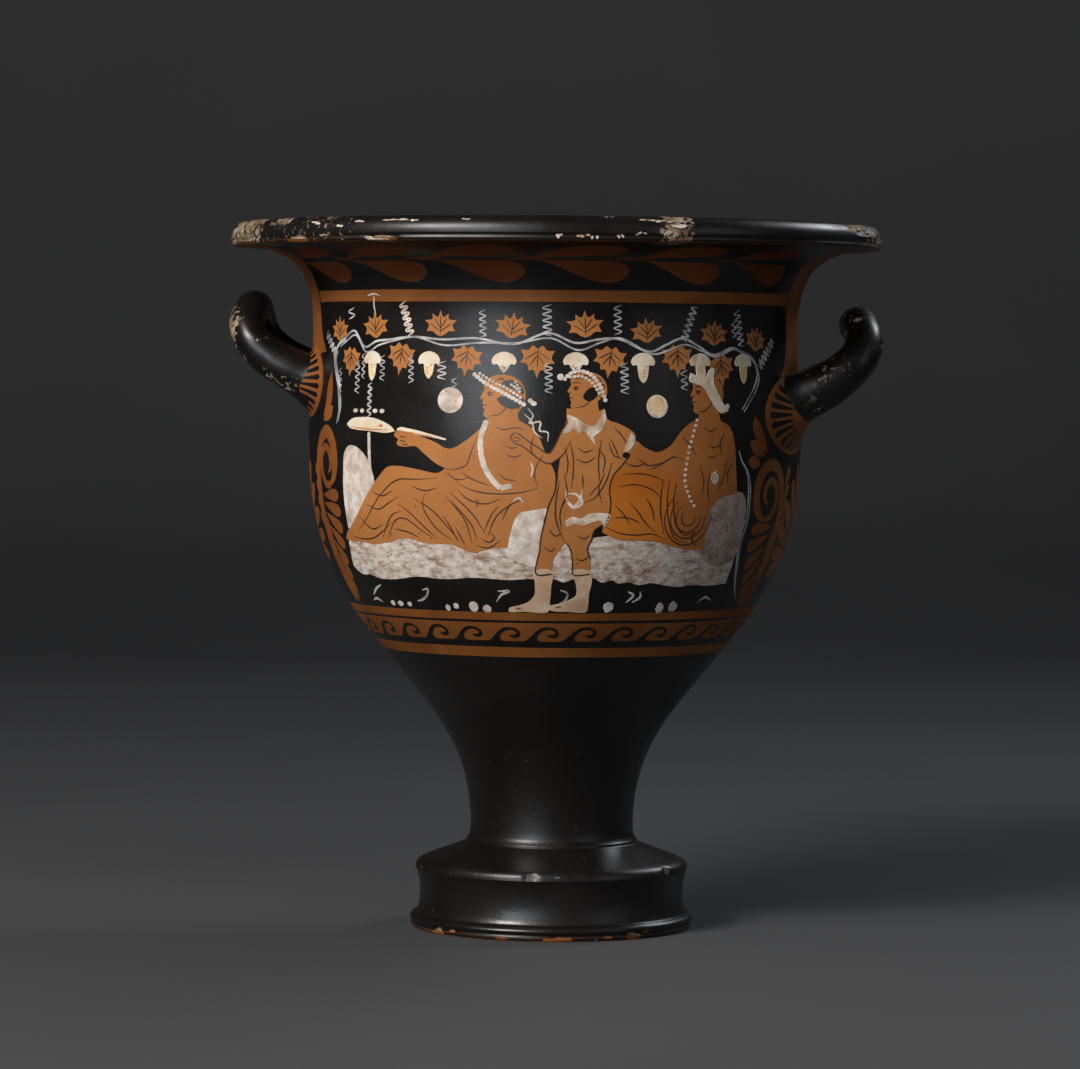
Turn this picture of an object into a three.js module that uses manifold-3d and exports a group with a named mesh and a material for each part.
// A red-figure bell krater: a wheel-thrown mixing bowl of fired clay on a tall waisted stem and a
// moulded disc foot, with two upturned loop handles. Bowl, stem, foot and handles were luted
// together wet and fired as one, so the vase is one solid: hollow and open above, and hollow again
// under the foot. Units are millimetres and +Z is up. The origin is the centre of the ring that the
// foot stands on, the handles lie along X, and the picture side faces -Y.

import * as THREE from "three";
import { mergeVertices } from "three/addons/utils/BufferGeometryUtils.js";
import Module from "manifold-3d";

const wasm = await Module();
wasm.setup();

// Driving dimensions.
const HEIGHT = 400;
const RIM_RADIUS = 185;
const LIP_HEIGHT = 13.4;
const BELLY_RADIUS = 140;
const STEM_RADIUS = 46.4;
const FOOT_RADIUS = 80.9;
const FOOT_DISC_HEIGHT = 34;
const FOOT_HEIGHT = 49;
const REST_RING_WIDTH = 14;
const WALL = 8;
const BOWL_FLOOR = 104;
const STEM_HOLLOW_TOP = 92;

// Handles: half the space between a loop's roots, how far it reaches out, how high its roots sit on
// the wall, how far it rises above them and how far its arch leans back over the bowl.
// The two were rolled and set by hand, so the left one is thinner, higher and more upright.
const HANDLE_HALF_SPAN = 38.5;
const HANDLE_SWELL_SHARE = 0.34; // of the loop's length, at each end, over which it thins
const LEFT_HANDLE = {
  side: -1,
  reach: 183,
  rootHeight: 313.6,
  rise: 38.4,
  lean: 0.7,
  rootRadius: 14,
  radius: 9.7,
};
const RIGHT_HANDLE = {
  side: 1,
  reach: 186,
  rootHeight: 304.4,
  rise: 39.5,
  lean: 3.6,
  rootRadius: 15.4,
  radius: 10.7,
};

// How finely the round shapes are cut.
const TURN_STEPS = 48;
const CURVE_STEPS = 4;
const WALL_STEPS = 25;
const INSIDE_STEPS = 16;
const HANDLE_STEPS = 24;
const HANDLE_SIDES = 10;

// The foot's outline: a standing edge, a torus with a groove over it, a hollow-sided disc and a
// cone that climbs to the ridge round the stem.
function footOutline(path) {
  const disc = FOOT_DISC_HEIGHT;
  path.lineTo(FOOT_RADIUS - 1.7, 0);
  path.lineTo(FOOT_RADIUS - 0.9, 1);
  path.lineTo(FOOT_RADIUS - 0.9, 2.7);
  path.lineTo(FOOT_RADIUS - 1.5, 3.3);
  path.quadraticCurveTo(FOOT_RADIUS + 1.6, 5.6, FOOT_RADIUS - 1.9, 8);
  path.lineTo(FOOT_RADIUS - 3.7, 8.4);
  path.lineTo(FOOT_RADIUS - 4.3, 9.4);
  path.quadraticCurveTo(FOOT_RADIUS - 7.7, 20, FOOT_RADIUS - 3.9, disc - 2);
  path.lineTo(FOOT_RADIUS - 3.1, disc - 0.6);
  path.quadraticCurveTo(FOOT_RADIUS - 3, disc + 3, FOOT_RADIUS - 6.1, disc + 4.6);
  path.lineTo(STEM_RADIUS + 4, FOOT_HEIGHT - 1.1);
  path.lineTo(STEM_RADIUS + 2.5, FOOT_HEIGHT - 0.3);
  path.lineTo(STEM_RADIUS + 2.5, FOOT_HEIGHT + 1);
}

// Radius and height of the points that the outer wall passes through, from the stem's ridge up
// through the waist, the belly and the upright wall to the underside of the lip.
const OUTER_WALL = [
  [STEM_RADIUS + 0.9, 51.6],
  [STEM_RADIUS, 60],
  [48.2, 79],
  [54.6, 100],
  [66.2, 120.4],
  [82.4, 141],
  [99, 161.5],
  [113.3, 180],
  [124.7, 200.3],
  [132.7, 221],
  [137.7, 243],
  [BELLY_RADIUS, 270],
  [BELLY_RADIUS - 0.4, 295],
  [BELLY_RADIUS - 2, 325],
  [BELLY_RADIUS - 2, 345],
  [BELLY_RADIUS - 1, 357],
  [142.6, 368.5],
  [149.5, 378],
  [160, 383.8],
  [171, 386.2],
];

// The same for the inside of the bowl, from its floor to the inner edge of the lip.
const INNER_WALL = [
  [28, BOWL_FLOOR + 2.5],
  [46, BOWL_FLOOR + 12],
  [63, BOWL_FLOOR + 28],
  [84, BOWL_FLOOR + 51],
  [103.5, BOWL_FLOOR + 77],
  [118.5, BOWL_FLOOR + 104],
  [127.8, BOWL_FLOOR + 134],
  [BELLY_RADIUS - WALL, BOWL_FLOOR + 166],
  [BELLY_RADIUS - WALL - 0.8, BOWL_FLOOR + 205],
  [BELLY_RADIUS - WALL - 1.4, BOWL_FLOOR + 247],
  [134.2, BOWL_FLOOR + 264],
  [142, BOWL_FLOOR + 277],
  [154, BOWL_FLOOR + 287],
  [166, BOWL_FLOOR + 293.6],
];

const toPoints = (knots) => knots.map(([radius, height]) => new THREE.Vector2(radius, height));

// The lip: a reserved edge below a groove, a face that leans in, and a narrow flat top.
function lipOutline(path) {
  const base = HEIGHT - LIP_HEIGHT;
  path.lineTo(RIM_RADIUS - 2, base);
  path.quadraticCurveTo(RIM_RADIUS - 0.4, base + 0.4, RIM_RADIUS - 0.7, base + 1.9);
  path.lineTo(RIM_RADIUS - 1.2, base + 2.7);
  path.lineTo(RIM_RADIUS - 0.1, base + 4);
  path.quadraticCurveTo(RIM_RADIUS + 0.3, base + 9, RIM_RADIUS - 3.5, HEIGHT - 1.4);
  path.quadraticCurveTo(RIM_RADIUS - 5.5, HEIGHT, RIM_RADIUS - 9, HEIGHT);
}

// The vase filled in: everything inside its outer surface.
function filledOutline() {
  const path = new THREE.Path();
  path.moveTo(0, 0);
  footOutline(path);
  const wall = new THREE.SplineCurve(toPoints(OUTER_WALL)).getPoints(WALL_STEPS);
  wall.forEach((p) => path.lineTo(p.x, p.y));
  lipOutline(path);
  path.lineTo(0, HEIGHT);
  return path.getPoints(CURVE_STEPS);
}

// The space in the bowl, carried past the mouth.
function bowlOutline() {
  const above = HEIGHT + 10;
  const wall = new THREE.SplineCurve(toPoints(INNER_WALL)).getPoints(INSIDE_STEPS);
  const mouth = RIM_RADIUS - 14;
  return [
    new THREE.Vector2(0, BOWL_FLOOR),
    ...wall,
    new THREE.Vector2(mouth, HEIGHT),
    new THREE.Vector2(mouth, above),
    new THREE.Vector2(0, above),
  ];
}

// The space under the foot, which runs up into the stem.
function underOutline() {
  const mouth = FOOT_RADIUS - 1.7 - REST_RING_WIDTH;
  return toPoints([
    [0, -5],
    [mouth, -5],
    [mouth, 2],
    [mouth - 3, 14],
    [52, 32],
    [39, 47],
    [36, 62],
    [30, STEM_HOLLOW_TOP - 8],
    [16, STEM_HOLLOW_TOP - 1],
    [0, STEM_HOLLOW_TOP],
  ]);
}

// A manifold-3d solid from a closed geometry, with its shared vertices merged and the triangles
// that collapse on the axis dropped.
function toSolid(geometry) {
  const bare = new THREE.BufferGeometry();
  bare.setAttribute("position", geometry.getAttribute("position"));
  bare.setIndex(geometry.getIndex());
  const merged = mergeVertices(bare, 1e-4);
  const index = merged.getIndex().array;
  const kept = [];
  for (let i = 0; i < index.length; i += 3) {
    const [a, b, c] = index.slice(i, i + 3);
    if (a !== b && b !== c && c !== a) kept.push(a, b, c);
  }
  return new wasm.Manifold(
    new wasm.Mesh({
      numProp: 3,
      vertProperties: merged.getAttribute("position").array,
      triVerts: new Uint32Array(kept),
    }),
  );
}

function toGeometry(solid) {
  const { vertProperties, triVerts } = solid.getMesh();
  const geometry = new THREE.BufferGeometry();
  geometry.setAttribute("position", new THREE.BufferAttribute(vertProperties, 3));
  geometry.setIndex(new THREE.BufferAttribute(triVerts, 1));
  geometry.computeVertexNormals();
  return geometry;
}

// An outline that starts and ends on the axis, turned about +Z.
function turned(outline) {
  return toSolid(new THREE.LatheGeometry(outline, TURN_STEPS).rotateX(Math.PI / 2));
}

// The loop's centre line: out of the wall, up each limb and over the arch between them, the same
// on both sides of the XZ plane. It starts inside the wall, where the bowl's space trims it, and the
// arch leans back towards the bowl.
function handleLine({ side, reach, rootHeight, rise, lean, radius }) {
  const root = rootHeight;
  const out = reach - radius;
  const span = HANDLE_HALF_SPAN;
  const limb = [
    [out - 53, span - 5, root - 6],
    [out - 41, span - 3, root - 3],
    [out - 28, span - 1, root + 2.5],
    [out - 14.5, span, root + 10],
    [out - 4.6, span - 1.2, root + 19],
    [out - 0.2, span - 7, root + 28.5],
    [out - 0.28 * lean, span - 17, root + rise - 4.6],
    [out - 0.8 * lean, span - 28.5, root + rise - 0.8],
  ];
  const half = limb.map(([x, y, z]) => new THREE.Vector3(side * x, y, z));
  const apex = new THREE.Vector3(side * (out - lean), 0, root + rise);
  const other = half.map((p) => new THREE.Vector3(p.x, -p.y, p.z)).reverse();
  return new THREE.CatmullRomCurve3([...half, apex, ...other], false, "centripetal");
}

// A round roll of clay along the line, thicker where it meets the wall.
function handle(form) {
  const line = handleLine(form);
  const frames = line.computeFrenetFrames(HANDLE_STEPS, false);
  const positions = [];
  const index = [];
  const put = (p) => positions.push(p.x, p.y, p.z);
  for (let i = 0; i <= HANDLE_STEPS; i++) {
    const share = i / HANDLE_STEPS;
    const centre = line.getPointAt(share);
    const fromRoot = Math.min(share, 1 - share) / HANDLE_SWELL_SHARE;
    const swell = 1 - THREE.MathUtils.smoothstep(fromRoot, 0, 1);
    const radius = form.radius + (form.rootRadius - form.radius) * swell;
    for (let j = 0; j < HANDLE_SIDES; j++) {
      const turn = (j / HANDLE_SIDES) * 2 * Math.PI;
      put(
        centre
          .clone()
          .addScaledVector(frames.normals[i], radius * Math.cos(turn))
          .addScaledVector(frames.binormals[i], radius * Math.sin(turn)),
      );
    }
  }
  for (let i = 0; i < HANDLE_STEPS; i++) {
    for (let j = 0; j < HANDLE_SIDES; j++) {
      const a = i * HANDLE_SIDES + j;
      const b = i * HANDLE_SIDES + ((j + 1) % HANDLE_SIDES);
      index.push(a, b, b + HANDLE_SIDES, a, b + HANDLE_SIDES, a + HANDLE_SIDES);
    }
  }
  for (const share of [0, 1]) {
    const centre = positions.length / 3;
    const ring = share * HANDLE_STEPS * HANDLE_SIDES;
    put(line.getPointAt(share));
    for (let j = 0; j < HANDLE_SIDES; j++) {
      const a = ring + j;
      const b = ring + ((j + 1) % HANDLE_SIDES);
      index.push(centre, ...(share ? [a, b] : [b, a]));
    }
  }
  const geometry = new THREE.BufferGeometry();
  geometry.setAttribute("position", new THREE.Float32BufferAttribute(positions, 3));
  geometry.setIndex(index);
  return toSolid(geometry);
}

const solid = turned(filledOutline())
  .add(handle(LEFT_HANDLE))
  .add(handle(RIGHT_HANDLE))
  .subtract(turned(bowlOutline()))
  .subtract(turned(underOutline()));

const gloss = new THREE.MeshStandardMaterial({ color: 0x1b1815, roughness: 0.35, metalness: 0 });
const krater = new THREE.Mesh(toGeometry(solid), gloss);
krater.name = "krater";

const vase = new THREE.Group();
vase.add(krater);

export default vase;
